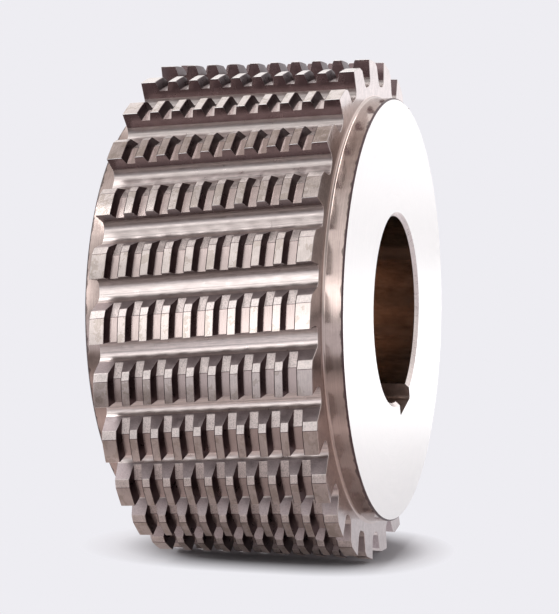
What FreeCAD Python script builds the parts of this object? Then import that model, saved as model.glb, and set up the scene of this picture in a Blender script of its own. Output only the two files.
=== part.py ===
import FreeCAD, Part
import math
import os

# Rack milling cutter: one turned, gashed and form-relieved piece of tool steel.
# Millimetres. It is drawn with its axis on Z and the middle of its bore at the
# origin, then laid over so that the axis is Y and one hub face looks towards -Y.

# body and hubs
OUTSIDE_D = 160.0
TOOTHED_LENGTH = 67.5
HUB_D = 135.0
HUB_HEIGHT = 6.25
HUB_BASE_BEVEL = 1.0

# bore and keyway for an arbor
BORE_D = 60.0
BORE_CHAMFER = 1.25
KEYWAY_WIDTH = 14.0
KEYWAY_ACROSS = 64.2
KEYWAY_CORNER_R = 1.0
KEYWAY_FROM_DOWN_DEG = 15.8

# rows of teeth, one on each land between two helical gashes
ROWS = 26
TWIST_DEG = -4.11

# section of one row, angles run from its cutting edge back over its heel
RAKE_DEG = 4.0
PRIMARY_END_DEG = 5.4
PRIMARY_DROP = 1.0
HEEL_END_DEG = 7.15
HEEL_SLOPE_DEG = 28.0
BACK_FACE_DEG = 25.5
GASH_FLOOR_R = 71.6
GASH_CORNER_R = 2.6

# rings of teeth: equal grooves across every land, in the form of the rack
RINGS = 10
GROOVE_DEPTH = 3.0
GROOVE_MOUTH = 4.15
FLANK_DEG = 14.5

outside_r = OUTSIDE_D / 2
hub_r = HUB_D / 2
bore_r = BORE_D / 2
half_toothed = TOOTHED_LENGTH / 2
half_length = half_toothed + HUB_HEIGHT
ring_pitch = TOOTHED_LENGTH / RINGS
row_step_deg = 360.0 / ROWS
stations = (-half_toothed, 0.0, half_toothed)

origin = FreeCAD.Vector(0, 0, 0)
axis = FreeCAD.Vector(0, 0, 1)


def around(angle_deg, r, z):
    """Point at a radius, its angle counted from straight down to the heel side."""
    a = math.radians(270.0 - angle_deg)
    return FreeCAD.Vector(r * math.cos(a), r * math.sin(a), z)


def on_land(angle_deg, r, z):
    """Point behind the cutting edge, which turns with the helix along z."""
    return around(angle_deg + TWIST_DEG * -z / TOOTHED_LENGTH, r, z)


def on_span(angle_deg, r, z):
    """The same point on the straight span between its two stations."""
    start = stations[0] if z < stations[1] else stations[1]
    share = (z - start) / half_toothed
    near, far = on_land(angle_deg, r, start), on_land(angle_deg, r, start + half_toothed)
    return near * (1 - share) + far * share


def relief(angle_deg):
    """How far crest, flanks and root have fallen behind the cutting edge."""
    if angle_deg <= PRIMARY_END_DEG:
        return PRIMARY_DROP * angle_deg / PRIMARY_END_DEG
    run = math.radians(angle_deg - PRIMARY_END_DEG) * outside_r
    return PRIMARY_DROP + run * math.tan(math.radians(HEEL_SLOPE_DEG))


def turned_about_axis(vector, degrees):
    return FreeCAD.Rotation(axis, degrees).multVec(vector)


def crossing(p, p_way, q, q_way):
    """Where two lines of one section cross."""
    gap = q - p
    return p + p_way * (gap.cross(q_way).z / p_way.cross(q_way).z)


def corner_arc(corner, before, after):
    """Start, middle and end of the arc that rounds a corner of the gash."""
    to_before = (before - corner).normalize()
    to_after = (after - corner).normalize()
    half = to_before.getAngle(to_after) / 2
    reach = GASH_CORNER_R / math.tan(half)
    centre = corner + (to_before + to_after).normalize() * (GASH_CORNER_R / math.sin(half))
    middle = centre + (corner - centre).normalize() * GASH_CORNER_R
    return corner + to_before * reach, middle, corner + to_after * reach


def row_edges(first_deg, z):
    """Section of one row: its land, back face, gash and the next rake face."""
    def at(angle, r):
        return on_land(first_deg + angle, r, z)

    edge, next_edge = at(0, outside_r), at(row_step_deg, outside_r)
    primary_end = at(PRIMARY_END_DEG, outside_r - PRIMARY_DROP)
    heel_end = at(HEEL_END_DEG, outside_r - relief(HEEL_END_DEG))
    floor_deg = (HEEL_END_DEG + row_step_deg) / 2
    floor = at(floor_deg, GASH_FLOOR_R)
    floor_way = turned_about_axis(floor - axis * z, 90)
    back_way = turned_about_axis(axis * z - at(HEEL_END_DEG, 1), BACK_FACE_DEG)
    rake_way = turned_about_axis(axis * z - at(row_step_deg, 1), RAKE_DEG)
    back_corner = crossing(heel_end, back_way, floor, floor_way)
    rake_corner = crossing(next_edge, rake_way, floor, floor_way)
    back_arc = corner_arc(back_corner, heel_end, rake_corner)
    rake_arc = corner_arc(rake_corner, back_corner, next_edge)

    curves = [
        Part.LineSegment(edge, primary_end),
        Part.LineSegment(primary_end, heel_end),
        Part.LineSegment(heel_end, back_arc[0]),
        Part.Arc(*back_arc),
        Part.LineSegment(back_arc[2], rake_arc[0]),
        Part.Arc(*rake_arc),
        Part.LineSegment(rake_arc[2], next_edge),
    ]
    return [curve.toShape() for curve in curves]


def gashed_drum():
    """All the lands and gashes, lofted through sections that turn with the helix."""
    sections = []
    for z in stations:
        edges = [e for k in range(ROWS) for e in row_edges((k + 0.5) * row_step_deg, z)]
        sections.append(Part.Wire(edges))
    return Part.makeLoft(sections, True, True)


def turned(outline):
    """Solid of revolution from (radius, z) points."""
    points = [FreeCAD.Vector(r, 0, z) for r, z in outline]
    return Part.Face(Part.makePolygon(points + points[:1])).revolve(origin, axis, 360)


def both_ends(half_outline):
    """The outline of one end, then the same mirrored at the other end."""
    return half_outline + [(r, -z) for r, z in reversed(half_outline)]


def hubs():
    return turned(both_ends([
        (0, half_length),
        (hub_r, half_length),
        (hub_r, half_toothed + HUB_BASE_BEVEL),
        (hub_r + HUB_BASE_BEVEL, half_toothed),
    ]))


def bore():
    return turned(both_ends([
        (0, half_length + BORE_CHAMFER),
        (bore_r + 2 * BORE_CHAMFER, half_length + BORE_CHAMFER),
        (bore_r, half_length - BORE_CHAMFER),
    ]))


def keyway():
    """Slot along the bore with rounded bottom corners."""
    depth = KEYWAY_ACROSS - bore_r
    slot = Part.makeBox(
        depth, KEYWAY_WIDTH, 2 * (half_length + BORE_CHAMFER),
        FreeCAD.Vector(0, -KEYWAY_WIDTH / 2, -half_length - BORE_CHAMFER),
    )
    corners = [e for e in slot.Edges
               if e.BoundBox.XLength < e.BoundBox.ZLength and e.CenterOfMass.x > bore_r]
    slot = slot.makeFillet(KEYWAY_CORNER_R, corners)
    return slot.rotated(origin, axis, 270.0 + KEYWAY_FROM_DOWN_DEG)


def groove(z_mid):
    """One groove across a land. Its floor and flanks fall towards the heel just
    as the crests do, and it breaks to the heel on the same line."""
    slope = math.tan(math.radians(FLANK_DEG))
    half_mouth = GROOVE_MOUTH / 2
    half_root = half_mouth - GROOVE_DEPTH * slope
    back_lean = math.tan(math.radians(BACK_FACE_DEG))
    heel_slope = math.tan(math.radians(HEEL_SLOPE_DEG))
    exit_run = GROOVE_DEPTH * back_lean / (1 - heel_slope * back_lean)
    last_deg = HEEL_END_DEG + math.degrees(1.5 * exit_run / outside_r)

    sections = []
    for angle in (-PRIMARY_END_DEG / 4, PRIMARY_END_DEG, last_deg):
        crest_r = outside_r - relief(angle)
        sides = []
        for side in (-1, 1):
            low_z, crest_z = z_mid + side * half_root, z_mid + side * half_mouth
            if angle == PRIMARY_END_DEG:
                low = on_span(angle, crest_r - GROOVE_DEPTH, low_z)
                crest = on_span(angle, crest_r, crest_z)
            else:
                low = on_land(angle, crest_r - GROOVE_DEPTH, z_mid) + axis * (low_z - z_mid)
                crest = on_land(angle, crest_r, z_mid) + axis * (crest_z - z_mid)
            sides.append((low, crest + (crest - low) / 2))
        (low_a, top_a), (low_b, top_b) = sides
        sections.append(Part.makePolygon([low_a, top_a, top_b, low_b, low_a]))
    return Part.makeLoft(sections, True, True)


def grooves():
    """The grooves of one row, repeated round every row."""
    one_row = [groove((i + 1) * ring_pitch - half_toothed) for i in range(RINGS - 1)]
    return [g.rotated(origin, axis, -(k + 0.5) * row_step_deg)
            for k in range(ROWS) for g in one_row]


def cutter():
    body = gashed_drum().fuse(hubs()).cut(grooves() + [bore(), keyway()])
    return body.Solids[0].rotated(origin, FreeCAD.Vector(1, 0, 0), 90)


os.makedirs("parts", exist_ok=True)
cutter().exportStep("parts/cutter_body.step")
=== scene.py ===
import math

import bmesh
import bpy
import numpy as np
from mathutils import Matrix, Vector
from mathutils.geometry import tessellate_polygon


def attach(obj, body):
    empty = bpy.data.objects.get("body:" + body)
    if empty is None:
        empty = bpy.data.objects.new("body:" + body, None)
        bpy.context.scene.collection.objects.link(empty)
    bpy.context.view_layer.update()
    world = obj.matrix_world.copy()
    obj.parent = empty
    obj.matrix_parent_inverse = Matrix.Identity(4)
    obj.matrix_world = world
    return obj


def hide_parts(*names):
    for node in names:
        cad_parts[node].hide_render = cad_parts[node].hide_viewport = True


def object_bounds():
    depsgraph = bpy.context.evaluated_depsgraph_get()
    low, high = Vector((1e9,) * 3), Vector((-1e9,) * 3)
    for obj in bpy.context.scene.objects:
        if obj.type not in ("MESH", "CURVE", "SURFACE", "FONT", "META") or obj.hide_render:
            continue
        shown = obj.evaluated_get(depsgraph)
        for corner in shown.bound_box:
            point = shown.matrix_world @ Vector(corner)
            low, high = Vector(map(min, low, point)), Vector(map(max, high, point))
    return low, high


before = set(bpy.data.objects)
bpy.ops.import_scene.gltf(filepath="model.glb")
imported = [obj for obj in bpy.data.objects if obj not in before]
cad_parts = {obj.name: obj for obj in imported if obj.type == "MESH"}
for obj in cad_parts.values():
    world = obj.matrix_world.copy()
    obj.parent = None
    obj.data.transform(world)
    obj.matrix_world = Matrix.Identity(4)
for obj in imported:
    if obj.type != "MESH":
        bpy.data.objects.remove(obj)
cad_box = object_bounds()

# Body, hubs, bore and keyway, in metres, as in the solid that the mesh stands for,
# with a radius at the foot of each hub and a broken rim.
MM = 0.001
OUTSIDE_R = 80.0 * MM
HALF_TOOTHED = 33.75 * MM
HALF_LENGTH = 40.0 * MM
HUB_R = 67.5 * MM
HUB_RIM_CHAMFER = 0.5 * MM
HUB_BASE_R = 1.0 * MM
BORE_R = 30.0 * MM
BORE_CHAMFER = 1.25 * MM
KEYWAY_HALF = 7.0 * MM
KEYWAY_BOTTOM = 34.2 * MM
KEYWAY_CORNER_R = 1.0 * MM
KEYWAY_FROM_DOWN = math.radians(15.8)

# Rows of teeth, with the section of one row from its cutting edge backwards.
ROWS = 26
ROW_STEP = math.tau / ROWS
TWIST = math.radians(-4.11)
RAKE = math.radians(4.0)
PRIMARY_END = math.radians(5.4)
PRIMARY_DROP = 1.0 * MM
PRIMARY_SHARES = (0.33, 0.67, 1.0)
HEEL_END = math.radians(7.15)
HEEL_SLOPE = math.tan(math.radians(28.0))
BACK_LEAN = math.radians(25.5)
BACK_REACH = 6.0 * MM
BACK_SAMPLES = 60
GASH_FLOOR_R = 71.6 * MM
GASH_CORNER_R = 2.6 * MM

# Rings of teeth, and the fine edges and lines that grinding leaves on them.
RINGS = 10
GROOVE_DEPTH = 3.0 * MM
GROOVE_MOUTH = 4.15 * MM
FLANK = math.tan(math.radians(14.5))
HONED_EDGE = 0.10 * MM
BROKEN_EDGE = 0.12 * MM
FAR_EDGE = 0.24 * MM
HEEL_LINE = 0.16 * MM

# How finely round forms are stepped, and from which angle an edge looks sharp.
HUB_SEGMENTS = 208
BORE_SEGMENTS = 120
ARC_STEPS = 9
SHARP_FROM = math.radians(12.5)

# Where the camera stood, found by fitting the rows, the hub rim and the bore.
CAMERA_PLACE = Vector((-0.6087, -0.1861, 0.0657))
CAMERA_YAW = math.radians(16.87)
CAMERA_PITCH = math.radians(1.98)
ROLLED_BY = math.radians(4.05)
FOCAL_PIXELS = 1959.5
PICTURE_HEIGHT = 614
SENSOR_MM = 36.0
CLIP_NEAR, CLIP_FAR = 0.01, 20.0

# Patterns on the steel: how many of each in a mm, and which part of the noise
# turns into them.
PATCHES_PER_MM = 0.35
DOTS_PER_MM = 2.6
WAVES_PER_MM = 0.25
STAINS_PER_MM = 0.28
PATCH_RANGE = (0.3, 0.7)
DOT_RANGE = (0.40, 0.50)
STAIN_RANGE = (0.46, 0.48)
STAIN_COLOUR = (0.42, 0.355, 0.315, 1.0)
SMOOTHEST, ROUGHEST = 0.8, 1.25

# The band beside a hub's rim starts at these mm from the cutter's middle, less
# an unevenness of up to RIM_WAVE.
RIM_RANGE = (40.5, 40.7)
RIM_WAVE = 2.4

# Painted shade and highlight across a gash by its share of the row: painted
# shade that deepens under the rake face, a slightly brighter painted highlight,
# and one dark line that the mill left near the back face.
GASH_PAINTED_LIGHT = ((0.715, 1.0), (0.77, 1.1), (0.785, 0.7), (0.80, 1.0), (0.84, 1.0), (0.89, 0.82),
              (0.93, 0.74), (0.97, 0.50), (1.0, 0.34), (1.05, 0.32))
ROW_SHARE_START = 0.3

# Floor and backdrop, with the reach of the shadow that the floor keeps. Within
# the first range below, the floor turns from a dark painted shadow colour to its
# pale one, and within SHADOW_RANGE it turns into the plain backdrop.
BACKDROP = (0.855, 0.847, 0.888, 1.0)
FLOOR_COLOUR = (0.64, 0.63, 0.66, 1.0)
# Painted shadow: the floor's colour darkened under the cutter, beyond the shadow that the lamps cast.
FLOOR_PAINTED_SHADOW = (0.23, 0.225, 0.24, 1.0)
FLOOR_HALF = 6.0
SHADOW_ACROSS, SHADOW_MIDDLE = 0.036, -0.008
SHADOW_TO_BACK, SHADOW_TO_FRONT = 0.078, 0.049
SHADOW_END_POWER = 3.0
PAINTED_SHADOW_RANGE = (0.0, 0.6)
SHADOW_RANGE = (0.3, 1.0)

# How much of the plain backdrop the steel shows in place of the floor's shadow.
IN_STEEL = 0.9

# The card's edges, and its greys from the edge by the cutter to the edge by the
# camera: bands of painted shade that the steel shows as painted reflections.
CARD_NEAR, CARD_FAR, CARD_HALF = -0.01, -0.29, 0.25
CARD_ABOVE_FLOOR = 0.3 * MM
CARD_TINT = (1.38, 1.21, 1.18)
CARD_PAINTED_SHADES = ((0.0, 0.46), (0.16, 0.46), (0.23, 0.32), (0.29, 0.53), (0.36, 0.27), (0.45, 0.31),
               (0.52, 0.38), (0.62, 0.25), (0.73, 0.12), (0.86, 0.13), (1.0, 0.24))

# Brightness of the studio by height: 0 is the horizon and 1 straight up.
CEILING = (0.51, 0.44, 0.41, 1.0)
FRONT_LEVELS = ((0.0, 0.85), (0.06, 1.3), (0.13, 2.3), (0.22, 2.75), (0.30, 2.5), (0.40, 1.5),
                (0.55, 1.3), (0.70, 1.35), (0.88, 0.95), (1.0, CEILING))
BACK_LEVELS = ((0.0, BACKDROP), (0.10, BACKDROP), (0.30, 1.3), (0.75, 1.4), (0.90, CEILING),
               (1.0, CEILING))

# Where the large box in front fades out on the left and right of the picture,
# and the share of its light that is left beyond. Above TOP_RANGE its left side
# doesn't fade, and past BEHIND_RANGE it gives way to the wall behind the cutter.
LEFT_RANGE, LEFT_OF_BOX = (0.37, 0.42), 0.32
RIGHT_RANGE, RIGHT_OF_BOX = (-0.15, 0.0), 0.45
TOP_RANGE = (0.45, 0.65)
BEHIND_RANGE = (-0.15, 0.35)

# Name, place, target, width, height and power in watts of each lamp.
SOFT_BOXES = (
    ("ceiling_box", (0.0, -0.04, 0.90), (0.0, 0.0, 0.0), 1.30, 0.22, 3.4),
    ("side_box", (-0.50, 0.60, 0.84), (0.0, 0.0, 0.0), 0.32, 0.28, 1.6),
    ("face_box", (0.36, -0.20, 0.07), (0.0, -0.04, 0.07), 0.30, 0.11, 0.075),
    ("low_box", (0.22, -0.15, -0.045), (0.0, -0.04, -0.045), 0.24, 0.06, 0.052),
)

# Kinds of faces, in the order of the materials.
(CREST, HEEL, ROOT, ROOT_HEEL, LINE, FLANK_SIDE, BACK, GASH, RAKE_FACE, HONED,
 END_FACE, HUB_SIDE, HUB_FACE, BORE, CHAMFER, KEYWAY) = range(16)

# Strips of a row's section, counted from its cutting edge. The gash follows,
# then the strips of the next rake face and last its honed edge.
PRIMARY_STRIPS = (0, 1, 2)
LINE_STRIP = 3
HEEL_STRIPS = (4, 5)
BACK_STRIPS = (6, 7)
RAKE_STRIP_COUNT = 2


def relief(angle):
    """How far the land has dropped at an angle behind its cutting edge."""
    if angle <= PRIMARY_END:
        return PRIMARY_DROP * angle / PRIMARY_END
    return PRIMARY_DROP + (angle - PRIMARY_END) * OUTSIDE_R * HEEL_SLOPE


def section_point(angle, r):
    """Flat point of a section; the angle runs from straight down to the heel side."""
    return np.array([-math.sin(angle) * r, -math.cos(angle) * r])


def angle_and_radius(point):
    """What section_point would take to give this point."""
    return math.atan2(-point[0], -point[1]), float(np.hypot(*point))


def turn(vector, angle):
    """A flat vector turned anticlockwise."""
    c, s = math.cos(angle), math.sin(angle)
    return np.array([c * vector[0] - s * vector[1], s * vector[0] + c * vector[1]])


def crossing(p, p_way, q, q_way):
    """Where two flat lines cross."""
    gap = q - p
    cross = p_way[0] * q_way[1] - p_way[1] * q_way[0]
    return p + p_way * ((gap[0] * q_way[1] - gap[1] * q_way[0]) / cross)


def corner_arc(corner, before, after, radius):
    """Points of the arc that rounds a corner, from one tangent point to the other."""
    to_before = (before - corner) / np.linalg.norm(before - corner)
    to_after = (after - corner) / np.linalg.norm(after - corner)
    half = math.acos(np.clip(to_before @ to_after, -1, 1)) / 2
    inward = (to_before + to_after) / np.linalg.norm(to_before + to_after)
    centre = corner + inward * radius / math.sin(half)
    start = corner + to_before * radius / math.tan(half) - centre
    side = math.copysign(1, start[0] * -inward[1] + start[1] * inward[0])
    sweep = side * (math.pi - 2 * half)
    return [centre + turn(start, sweep * i / ARC_STEPS) for i in range(ARC_STEPS + 1)]


def land_and_gash():
    """The part of a row's section that is the same in a crest and in a groove:
    the back face line, and the gash from there to the next row's rake face."""
    heel_end = section_point(HEEL_END, OUTSIDE_R - relief(HEEL_END))
    next_edge = section_point(ROW_STEP, OUTSIDE_R)
    back_way = turn(section_point(HEEL_END, -1.0), BACK_LEAN)
    rake_way = turn(section_point(ROW_STEP, -1.0), RAKE)
    floor_angle = (HEEL_END + ROW_STEP) / 2
    floor = section_point(floor_angle, GASH_FLOOR_R)
    floor_way = turn(section_point(floor_angle, 1.0), math.pi / 2)
    back_corner = crossing(heel_end, back_way, floor, floor_way)
    rake_corner = crossing(next_edge, rake_way, floor, floor_way)
    gash = corner_arc(back_corner, heel_end, rake_corner, GASH_CORNER_R)
    gash += corner_arc(rake_corner, back_corner, next_edge, GASH_CORNER_R)
    return heel_end, back_way, gash, next_edge, rake_way


def reach_down_back(depth, heel_end, back_way):
    """How far down the back face line a cut of this depth leaves the land."""
    reach = np.linspace(0, BACK_REACH, BACK_SAMPLES)
    on_back = [angle_and_radius(heel_end + back_way * t) for t in reach]
    cut = [OUTSIDE_R - relief(angle) - r for angle, r in on_back]
    return float(np.interp(depth, cut, reach))


def section_at_depth(depth):
    """One row's section where the ring form is cut this deep, as flat points."""
    heel_end, back_way, gash, next_edge, rake_way = land_and_gash()
    heel_exit = heel_end + back_way * reach_down_back(depth, heel_end, back_way)
    exit_angle = angle_and_radius(heel_exit)[0]

    def land(angle):
        return section_point(angle, OUTSIDE_R - depth - relief(angle))

    honed, broken, line = (w / OUTSIDE_R for w in (HONED_EDGE, BROKEN_EDGE, HEEL_LINE))
    points = [land(honed)]
    points += [land(PRIMARY_END * share) for share in PRIMARY_SHARES]
    points += [land(PRIMARY_END + line), land(exit_angle - broken)]
    points += [heel_exit + back_way * BROKEN_EDGE, (heel_exit + gash[0]) / 2]
    points += gash
    rake_top = next_edge + rake_way * ((depth + HONED_EDGE) / math.cos(RAKE))
    points += [(gash[-1] + next_edge + rake_way * GROOVE_DEPTH) / 2, rake_top]
    return np.array(points)


def ring_profile():
    """(position along the axis, cutting depth) pairs of the rings of teeth, each
    crest with a broken edge on both sides, the wider one further from the front
    hub."""
    pitch = 2 * HALF_TOOTHED / RINGS
    half_mouth, half_root = GROOVE_MOUTH / 2, GROOVE_MOUTH / 2 - GROOVE_DEPTH * FLANK

    def side_of_groove(edge):
        return [(half_mouth + edge, 0.0), (half_mouth - edge * FLANK, edge), (half_root, GROOVE_DEPTH)]

    down = [(-offset, depth) for offset, depth in side_of_groove(BROKEN_EDGE)]
    up = list(reversed(side_of_groove(FAR_EDGE)))
    stations = [(-HALF_TOOTHED + BROKEN_EDGE, 0.0)]
    for i in range(1, RINGS):
        middle = i * pitch - HALF_TOOTHED
        stations += [(middle + offset, depth) for offset, depth in down + up]
    stations += [(HALF_TOOTHED - BROKEN_EDGE, 0.0)]
    return stations


def shrunk(loop, by):
    """A closed flat outline moved inwards by a small amount."""
    ahead = np.roll(loop, -1, axis=0) - loop
    ahead /= np.linalg.norm(ahead, axis=1)[:, None]
    behind = np.roll(ahead, 1, axis=0)
    normal = np.stack([ahead[:, 1] + behind[:, 1], -ahead[:, 0] - behind[:, 0]], 1)
    normal /= np.linalg.norm(normal, axis=1)[:, None]
    moved = loop + normal * by
    if np.linalg.norm(moved, axis=1).mean() > np.linalg.norm(loop, axis=1).mean():
        moved = loop - normal * by
    return moved


def whole_section(depth, along):
    """All the rows at one place along the axis, turned with the helix."""
    row = section_at_depth(depth)
    twist = -TWIST * along / (2 * HALF_TOOTHED)
    loop = [turn(p, -(k + 0.5) * ROW_STEP - twist) for k in range(ROWS) for p in row]
    return np.array(loop)


def circle(r):
    """A closed round outline."""
    angles = -math.tau * np.arange(HUB_SEGMENTS) / HUB_SEGMENTS
    return np.stack([-np.sin(angles) * r, -np.cos(angles) * r], 1)


def bore_outline(r):
    """The bore with its keyway, as one closed outline."""
    side = math.asin(KEYWAY_HALF / r)
    arc = np.linspace(side, math.tau - side, BORE_SEGMENTS)
    left, right = np.array([-KEYWAY_HALF, -KEYWAY_BOTTOM]), np.array([KEYWAY_HALF, -KEYWAY_BOTTOM])
    up = np.array([0.0, KEYWAY_BOTTOM])
    outline = [section_point(-a, r) for a in arc]
    outline += corner_arc(left, left + up, right, KEYWAY_CORNER_R)
    outline += corner_arc(right, left, right + up, KEYWAY_CORNER_R)
    return np.array([turn(p, KEYWAY_FROM_DOWN) for p in outline])


class MeshBuilder:
    """Points and faces of one mesh, with a material number for each face."""

    def __init__(self):
        self.points, self.faces, self.kinds = [], [], []

    def loop(self, flat, along):
        """Flat section points laid into the row frame, along counted towards -Y."""
        first = len(self.points)
        self.points += [(float(x), -along, float(z)) for x, z in flat]
        return list(range(first, first + len(flat)))

    def band(self, one, other, kinds):
        """Quads between two closed loops of the same number of points; kinds is
        one material number, or a list with one for each quad."""
        count = len(one)
        for i in range(count):
            j = (i + 1) % count
            self.faces.append((one[i], one[j], other[j], other[i]))
        self.kinds += kinds if isinstance(kinds, list) else [kinds] * count

    def ring_face(self, outer, inner, kind):
        """A flat face between two loops of any number of points."""
        rings = [[Vector(self.points[i]) for i in ids] for ids in (outer, inner)]
        ids = outer + inner
        for triangle in tessellate_polygon(rings):
            self.faces.append([ids[i] for i in triangle])
            self.kinds.append(kind)


def strip_kind(strip, per_row, near, far):
    """The kind of one strip of a row between stations cut to these two depths."""
    level = near == far
    crest = level and near == 0.0
    if strip <= HEEL_STRIPS[-1] and not level:
        return FLANK_SIDE
    if strip in PRIMARY_STRIPS:
        return CREST if crest else ROOT
    if strip == LINE_STRIP:
        return LINE
    if strip in HEEL_STRIPS:
        return HEEL if crest else ROOT_HEEL
    if strip in BACK_STRIPS:
        return BACK
    if strip == per_row - 1:
        return HONED
    return GASH if strip < per_row - 1 - RAKE_STRIP_COUNT else RAKE_FACE


def build_teeth(mesh):
    """The rows of teeth and the gashes, a grid of strips round and along. Gives
    the outlines at the two ends."""
    loops = [(mesh.loop(whole_section(depth, along), along), depth) for along, depth in ring_profile()]
    per_row = len(section_at_depth(0.0))
    for (one, near), (other, far) in zip(loops, loops[1:]):
        kinds = [strip_kind(strip, per_row, near, far) for strip in range(per_row)]
        mesh.band(one, other, kinds * ROWS)
    ends = []
    for (ids, _), side in ((loops[0], -1), (loops[-1], 1)):
        outline = shrunk(whole_section(0.0, side * (HALF_TOOTHED - BROKEN_EDGE)), BROKEN_EDGE)
        end = mesh.loop(outline, side * HALF_TOOTHED)
        mesh.band(ids, end, END_FACE)
        ends.append(end)
    return ends


def build_hub(mesh, tooth_end, side):
    """End face of the teeth, then the hub with its base radius and rim chamfer.
    Gives the outline of the hub face."""
    quarter = np.linspace(0, math.pi / 2, ARC_STEPS + 1)
    profile = [
        (HUB_R + HUB_BASE_R * (1 - math.sin(a)), HALF_TOOTHED + HUB_BASE_R * (1 - math.cos(a)))
        for a in quarter
    ]
    profile += [(HUB_R, HALF_LENGTH - HUB_RIM_CHAMFER), (HUB_R - HUB_RIM_CHAMFER, HALF_LENGTH)]
    loops = [mesh.loop(circle(r), side * along) for r, along in profile]
    mesh.ring_face(tooth_end, loops[0], END_FACE)
    for one, other in zip(loops, loops[1:-1]):
        mesh.band(one, other, HUB_SIDE)
    mesh.band(loops[-2], loops[-1], LINE)
    return loops[-1]


def build_bore(mesh, rims):
    """The bore with its chamfered mouths and keyway, and both hub faces."""
    mouth, wall = bore_outline(BORE_R + BORE_CHAMFER), bore_outline(BORE_R)
    loops = [
        mesh.loop(mouth, -HALF_LENGTH),
        mesh.loop(wall, BORE_CHAMFER - HALF_LENGTH),
        mesh.loop(wall, HALF_LENGTH - BORE_CHAMFER),
        mesh.loop(mouth, HALF_LENGTH),
    ]
    round_quads = BORE_SEGMENTS - 1
    keyway_quads = [KEYWAY] * (len(wall) - round_quads)
    for one, other, kind in zip(loops, loops[1:], (CHAMFER, BORE, CHAMFER)):
        mesh.band(one, other, [kind] * round_quads + keyway_quads)
    mesh.ring_face(rims[0], loops[0], HUB_FACE)
    mesh.ring_face(rims[1], loops[-1], HUB_FACE)


def new_object(name, points, faces):
    """A mesh object in the scene."""
    data = bpy.data.meshes.new(name)
    data.from_pydata(points, [], faces)
    made = bpy.data.objects.new(name, data)
    bpy.context.scene.collection.objects.link(made)
    return made


def build_cutter(materials):
    """The whole cutter as one closed mesh."""
    builder = MeshBuilder()
    ends = build_teeth(builder)
    rims = [build_hub(builder, end, side) for end, side in zip(ends, (-1, 1))]
    build_bore(builder, rims)
    cutter = new_object("milled_cutter", builder.points, builder.faces)
    data = cutter.data
    data.polygons.foreach_set("material_index", builder.kinds)
    for material in materials:
        data.materials.append(material)
    closed = bmesh.new()
    closed.from_mesh(data)
    bmesh.ops.recalc_face_normals(closed, faces=closed.faces)
    closed.to_mesh(data)
    closed.free()
    data.shade_smooth()
    data.set_sharp_from_angle(angle=SHARP_FROM)
    return cutter


class Nodes:
    """Short calls for making and linking shader nodes. Where a call takes a
    value, it can be a plain one or another node's socket."""

    def __init__(self, tree):
        self.tree = tree

    def give(self, socket, value):
        if isinstance(value, bpy.types.NodeSocket):
            self.tree.links.new(value, socket)
        else:
            socket.default_value = value

    def places(self, kind):
        return self.tree.nodes.new("ShaderNodeTexCoord").outputs[kind]

    def separate(self, vector):
        node = self.tree.nodes.new("ShaderNodeSeparateXYZ")
        self.give(node.inputs[0], vector)
        return node.outputs

    def combine(self, x, y, z):
        node = self.tree.nodes.new("ShaderNodeCombineXYZ")
        for socket, value in zip(node.inputs, (x, y, z)):
            self.give(socket, value)
        return node.outputs[0]

    def math(self, operation, *values):
        node = self.tree.nodes.new("ShaderNodeMath")
        node.operation = operation
        for socket, value in zip(node.inputs, values):
            self.give(socket, value)
        return node.outputs[0]

    def product(self, values):
        total = values[0]
        for value in values[1:]:
            total = self.math("MULTIPLY", total, value)
        return total

    def scaled(self, vector, factor):
        node = self.tree.nodes.new("ShaderNodeVectorMath")
        node.operation = "SCALE"
        self.give(node.inputs[0], vector)
        self.give(node.inputs["Scale"], factor)
        return node.outputs[0]

    def noise(self, vector, scale, detail, roughness):
        node = self.tree.nodes.new("ShaderNodeTexNoise")
        settings = {"Vector": vector, "Scale": scale, "Detail": detail, "Roughness": roughness}
        for name, value in settings.items():
            self.give(node.inputs[name], value)
        return node.outputs["Fac"]

    def blend(self, factor, one, other):
        """Mix of two colours."""
        node = self.tree.nodes.new("ShaderNodeMix")
        node.data_type = "RGBA"
        self.give(node.inputs["Factor"], factor)
        for socket, value in zip(node.inputs[6:8], (one, other)):
            self.give(socket, value)
        return node.outputs[2]

    def spread(self, value, low, high, to_low, to_high):
        """The value moved from one range to another, and held to its ends."""
        node = self.tree.nodes.new("ShaderNodeMapRange")
        self.give(node.inputs["Value"], value)
        for name, number in (("From Min", low), ("From Max", high), ("To Min", to_low), ("To Max", to_high)):
            self.give(node.inputs[name], number)
        return node.outputs["Result"]

    def ramp(self, source, stops):
        """Colour ramp; a stop is (place, grey level or colour)."""
        node = self.tree.nodes.new("ShaderNodeValToRGB")
        self.give(node.inputs[0], source)
        elements = node.color_ramp.elements
        while len(elements) < len(stops):
            elements.new(0.5)
        for element, (place, level) in zip(elements, stops):
            element.position = place
            element.color = level if isinstance(level, tuple) else (level, level, level, 1.0)
        return node.outputs[0]


def new_material(name):
    """A material, and the calls for its nodes."""
    material = bpy.data.materials.new(name)
    material.use_nodes = True
    return material, Nodes(material.node_tree)


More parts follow.
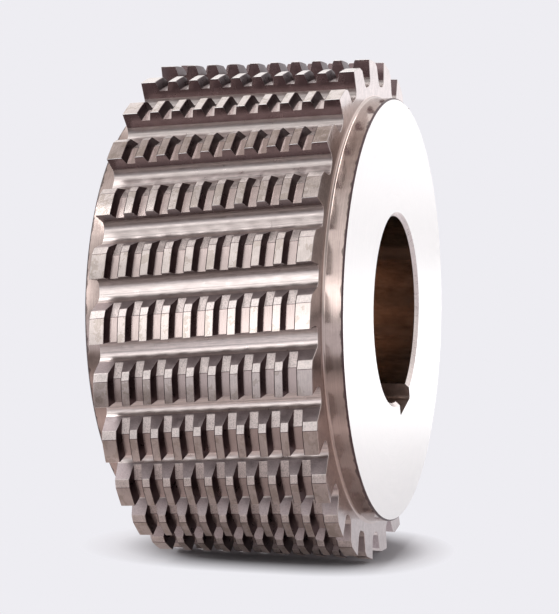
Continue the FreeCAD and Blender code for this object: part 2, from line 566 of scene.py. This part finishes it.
def surface_places(nodes):
    """Millimetres round the cutter along the helix, along its axis, and outwards,
    and the share of its row that a place has behind the cutting edge."""
    x, y, z = nodes.separate(nodes.places("Object"))
    left, down = nodes.math("MULTIPLY", x, -1.0), nodes.math("MULTIPLY", z, -1.0)
    helix = nodes.math("MULTIPLY", y, TWIST / (2 * HALF_TOOTHED))
    angle = nodes.math("SUBTRACT", nodes.math("ARCTAN2", left, down), helix)
    out = nodes.math("SQRT", nodes.math("ADD", nodes.math("MULTIPLY", x, x), nodes.math("MULTIPLY", z, z)))
    rows = nodes.math("SUBTRACT", nodes.math("DIVIDE", angle, ROW_STEP), 0.5 + ROW_SHARE_START)
    share = nodes.math("ADD", nodes.math("FRACT", nodes.math("ADD", rows, ROWS)), ROW_SHARE_START)
    round_mm = nodes.math("MULTIPLY", angle, OUTSIDE_R / MM)
    return (round_mm, nodes.math("DIVIDE", y, MM), nodes.math("DIVIDE", out, MM)), share


def speckles(nodes, flat, depth):
    """Fine dark dots."""
    dots = nodes.noise(flat, DOTS_PER_MM, 5.0, 0.8)
    return nodes.spread(dots, *DOT_RANGE, 1.0 - depth, 1.0)


def rim_band(nodes, flat, along, depth):
    """A darker band with an uneven edge beside a hub's rim."""
    wave = nodes.math("MULTIPLY", nodes.noise(flat, WAVES_PER_MM, 3.0, 0.6), RIM_WAVE)
    reach = nodes.math("ADD", nodes.math("ABSOLUTE", along), wave)
    return nodes.spread(reach, *RIM_RANGE, 1.0, 1.0 - depth)


def painted_light_across(nodes, share, stops):
    """Painted shade and highlight by the share of a row; the ramp is moved to start at 0."""
    moved = [(place - ROW_SHARE_START, level) for place, level in stops]
    return nodes.ramp(nodes.math("SUBTRACT", share, ROW_SHARE_START), moved)


def stained(nodes, flat, colour, depth):
    """The colour with hard-edged brown spots."""
    spots = nodes.spread(nodes.noise(flat, STAINS_PER_MM, 4.0, 0.65), *STAIN_RANGE, depth, 0.0)
    return nodes.blend(spots, (*colour, 1.0), STAIN_COLOUR)


def steel(name, colour, roughness, marks, mark_depth=0.004, streaks=0.10, mottle=0.1, speckle=0.0,
          stain=0.0, rim=0.0, across=()):
    """Bare tool steel. marks are how many tool marks per mm run across the three
    directions of surface_places, mark_depth is in mm, and streaks is how much the
    marks vary in colour. mottle is how much the colour varies in patches, speckle
    in fine dots, stain in hard-edged spots and rim in an uneven band beside the
    hub's rim. across is painted shade and highlight at shares of a row."""
    material, nodes = new_material(name)
    places, share = surface_places(nodes)
    flat = nodes.combine(*places)
    scaled = [nodes.math("MULTIPLY", place, count) for place, count in zip(places, marks)]
    lines = nodes.noise(nodes.combine(*scaled), 1.0, 4.0, 0.6)
    patches = nodes.noise(flat, PATCHES_PER_MM, 4.0, 0.6)

    shades = [nodes.spread(patches, *PATCH_RANGE, 1.0 - mottle, 1.0 + mottle),
              nodes.spread(lines, *PATCH_RANGE, 1.0 - streaks, 1.0 + streaks)]
    if speckle:
        shades.append(speckles(nodes, flat, speckle))
    if rim:
        shades.append(rim_band(nodes, flat, places[1], rim))
    if across:
        shades.append(painted_light_across(nodes, share, across))
    plain = stained(nodes, flat, colour, stain) if stain else colour

    bump = nodes.tree.nodes.new("ShaderNodeBump")
    nodes.give(bump.inputs["Distance"], mark_depth * MM)
    nodes.give(bump.inputs["Height"], lines)
    rough = nodes.spread(patches, *PATCH_RANGE, roughness * SMOOTHEST, roughness * ROUGHEST)
    shader = nodes.tree.nodes["Principled BSDF"]
    nodes.give(shader.inputs["Metallic"], 1.0)
    nodes.give(shader.inputs["Base Color"], nodes.scaled(plain, nodes.product(shades)))
    nodes.give(shader.inputs["Roughness"], rough)
    nodes.give(shader.inputs["Normal"], bump.outputs[0])
    return material


def tooth_steels():
    """Steels of the rows of teeth and of the gashes, in the order of the kinds."""
    light, warm, dark = (0.56, 0.49, 0.465), (0.50, 0.41, 0.39), (0.095, 0.063, 0.066)
    ground, milled, heel = (0.3, 7.0, 0.3), (6.0, 0.25, 6.0), (0.8, 4.0, 0.8)
    return [
        steel("ground_crest", light, 0.19, ground, mottle=0.08, stain=0.6),
        steel("crest_heel", (0.66, 0.59, 0.57), 0.46, heel, mark_depth=0.008, mottle=0.14, speckle=0.30),
        # The roots' colour is darker than the crests': painted shade in the grooves.
        steel("ground_root", warm, 0.20, ground, mottle=0.06),
        steel("root_heel", (0.64, 0.555, 0.535), 0.46, heel, mark_depth=0.008, mottle=0.14, speckle=0.45),
        steel("heel_line", dark, 0.45, ground),
        # The flanks and their broken edges are near black: painted shade.
        steel("ground_flank_painted_shade", dark, 0.30, (0.3, 3.0, 3.0)),
        steel("milled_back", (0.47, 0.395, 0.40), 0.50, (3.0, 1.5, 3.0), mark_depth=0.010, mottle=0.12,
              speckle=0.2),
        # The gash's pale colour is a painted highlight, and the shade across it is painted shade towards the
        # rake face.
        steel("milled_gash", (0.76, 0.67, 0.645), 0.33, milled, mark_depth=0.006, streaks=0.22,
              mottle=0.08, across=GASH_PAINTED_LIGHT),
        # The rake face is near black: painted shade from the gash below it.
        steel("rake_face_painted_shade", (0.125, 0.09, 0.092), 0.24, milled, streaks=0.12),
        steel("honed_edge", (0.78, 0.75, 0.74), 0.30, ground),
    ]


def hub_steels():
    """Steels of the shoulders, hubs and bore, in the order of the kinds."""
    bored = (0.05, 3.0, 1.0)
    return [
        steel("turned_shoulder", (0.44, 0.375, 0.36), 0.16, (0.1, 4.0, 4.0), mark_depth=0.003, mottle=0.16),
        steel("turned_hub", (0.48, 0.385, 0.355), 0.14, (0.05, 3.0, 2.0), mark_depth=0.003, mottle=0.07,
              stain=0.12, rim=0.6),
        steel("ground_face", (0.80, 0.78, 0.765), 0.42, (0.05, 3.0, 3.0), mottle=0.03, streaks=0.03),
        steel("ground_bore", (0.60, 0.48, 0.40), 0.14, bored, streaks=0.04),
        steel("bored_chamfer", (0.62, 0.54, 0.52), 0.30, bored),
        steel("milled_keyway", (0.40, 0.32, 0.29), 0.35, bored),
    ]


def laid(direction):
    """A direction of the camera's fit, which had the cutter's axis on X and the
    cutter not yet turned to stand level, in the row frame."""
    c, s = math.cos(ROLLED_BY), math.sin(ROLLED_BY)
    across = direction.y * c + direction.z * s
    up = direction.z * c - direction.y * s
    return Vector((across, -direction.x, up))


def photo_camera():
    """The camera that the fit gives, in the row frame."""
    cy, sy = math.cos(CAMERA_YAW), math.sin(CAMERA_YAW)
    cp, sp = math.cos(CAMERA_PITCH), math.sin(CAMERA_PITCH)
    ahead = Vector((-sy * cp, cy * cp, -sp))
    right = Vector((cy, sy, 0.0))
    up = right.cross(ahead)
    data = bpy.data.cameras.new("photo_camera")
    data.sensor_width = SENSOR_MM
    data.lens = FOCAL_PIXELS / PICTURE_HEIGHT * SENSOR_MM
    data.clip_start, data.clip_end = CLIP_NEAR, CLIP_FAR
    camera = bpy.data.objects.new("photo_camera", data)
    axes = Matrix((laid(right), laid(up), -laid(ahead))).transposed()
    camera.matrix_world = Matrix.Translation(CAMERA_PLACE) @ axes.to_4x4()
    bpy.context.scene.collection.objects.link(camera)
    bpy.context.scene.camera = camera


def level_sheet(name, x_low, x_high, y_half, height):
    """A flat sheet that faces up."""
    corners = [(x_low, -y_half, height), (x_high, -y_half, height), (x_high, y_half, height),
               (x_low, y_half, height)]
    return new_object(name, corners, [(0, 1, 2, 3)])


def shadow_reach(nodes):
    """How far a place is from the middle of the shadow; 1 is at its edge."""
    x, y, _ = nodes.separate(nodes.places("Object"))
    across = nodes.math("DIVIDE", x, SHADOW_ACROSS)
    past = nodes.math("SUBTRACT", y, SHADOW_MIDDLE)
    to_back = nodes.math("DIVIDE", past, SHADOW_TO_BACK)
    to_front = nodes.math("DIVIDE", past, -SHADOW_TO_FRONT)
    along = nodes.math("POWER", nodes.math("MAXIMUM", to_back, to_front), SHADOW_END_POWER)
    return nodes.math("ADD", nodes.math("MULTIPLY", across, across), along)


def floor_material():
    """Matt near the cutter, where it keeps the shadow and its colour darkens under
    the cutter as painted shadow, and the backdrop's plain colour further out and
    in the steel's reflections."""
    material, nodes = new_material("pale_floor")
    tree = nodes.tree
    tree.nodes.clear()
    reach = shadow_reach(nodes)
    matt = tree.nodes.new("ShaderNodeBsdfDiffuse")
    under = nodes.spread(reach, *PAINTED_SHADOW_RANGE, 0.0, 1.0)
    nodes.give(matt.inputs["Color"], nodes.blend(under, FLOOR_PAINTED_SHADOW, FLOOR_COLOUR))
    glow = tree.nodes.new("ShaderNodeEmission")
    nodes.give(glow.inputs["Color"], BACKDROP)
    glossy = tree.nodes.new("ShaderNodeLightPath").outputs["Is Glossy Ray"]
    beyond = nodes.spread(reach, *SHADOW_RANGE, 0.0, 1.0)
    plain = nodes.math("MAXIMUM", beyond, nodes.math("MULTIPLY", glossy, IN_STEEL))
    mix = tree.nodes.new("ShaderNodeMixShader")
    for socket, value in zip(mix.inputs, (plain, matt.outputs[0], glow.outputs[0])):
        nodes.give(socket, value)
    out = tree.nodes.new("ShaderNodeOutputMaterial")
    nodes.give(out.inputs[0], mix.outputs[0])
    return material


def pale_floor(height):
    floor = level_sheet("floor", -FLOOR_HALF, FLOOR_HALF, FLOOR_HALF, height)
    floor.data.materials.append(floor_material())


def card_material():
    """Matt greys of painted shade that change from the cutter towards the camera."""
    material, nodes = new_material("painted_shade_card")
    reach = nodes.spread(nodes.separate(nodes.places("Object"))[0], CARD_NEAR, CARD_FAR, 0.0, 1.0)
    stops = [(place, (*(level * part for part in CARD_TINT), 1.0)) for place, level in CARD_PAINTED_SHADES]
    shader = nodes.tree.nodes["Principled BSDF"]
    nodes.give(shader.inputs["Base Color"], nodes.ramp(reach, stops))
    nodes.give(shader.inputs["Roughness"], 1.0)
    return material


def painted_shade_card(height):
    """A sheet of painted shade on the floor in front, seen only in the steel's reflections."""
    card = level_sheet("painted_shade_card", CARD_FAR, CARD_NEAR, CARD_HALF, height + CARD_ABOVE_FLOOR)
    card.visible_camera = card.visible_diffuse = card.visible_shadow = False
    card.data.materials.append(card_material())


def studio_world():
    """A white wall behind, one large soft box in front that fades out at its
    sides, and a dim ceiling."""
    world = bpy.data.worlds.new("studio")
    bpy.context.scene.world = world
    world.use_nodes = True
    nodes = Nodes(world.node_tree)
    x, y, height = nodes.separate(nodes.places("Generated"))
    left = nodes.spread(y, *LEFT_RANGE, 1.0, LEFT_OF_BOX)
    right = nodes.spread(y, *RIGHT_RANGE, RIGHT_OF_BOX, 1.0)
    above = nodes.spread(height, *TOP_RANGE, 0.0, 1.0)
    inside = nodes.math("MULTIPLY", nodes.math("MAXIMUM", left, above), right)
    front = nodes.scaled(nodes.ramp(height, FRONT_LEVELS), inside)
    behind = nodes.spread(x, *BEHIND_RANGE, 0.0, 1.0)
    light = nodes.tree.nodes["Background"]
    nodes.give(light.inputs["Color"], nodes.blend(behind, front, nodes.ramp(height, BACK_LEVELS)))
    nodes.give(light.inputs["Strength"], 1.0)


def soft_box(name, place, target, width, height, power):
    """A rectangular lamp that faces its target and isn't seen itself."""
    data = bpy.data.lights.new(name, "AREA")
    data.shape = "RECTANGLE"
    data.size, data.size_y, data.energy = width, height, power
    lamp = bpy.data.objects.new(name, data)
    lamp.location = place
    lamp.rotation_euler = (Vector(target) - Vector(place)).to_track_quat("-Z", "Y").to_euler()
    lamp.visible_camera = False
    bpy.context.scene.collection.objects.link(lamp)


photo_camera()
cutter = build_cutter(tooth_steels() + hub_steels())
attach(cutter, "root")
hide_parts("cutter_body")
lowest = cad_box[0][2]
pale_floor(lowest)
painted_shade_card(lowest)
studio_world()
for box in SOFT_BOXES:
    soft_box(*box)
bpy.context.scene.view_settings.view_transform = "Standard"
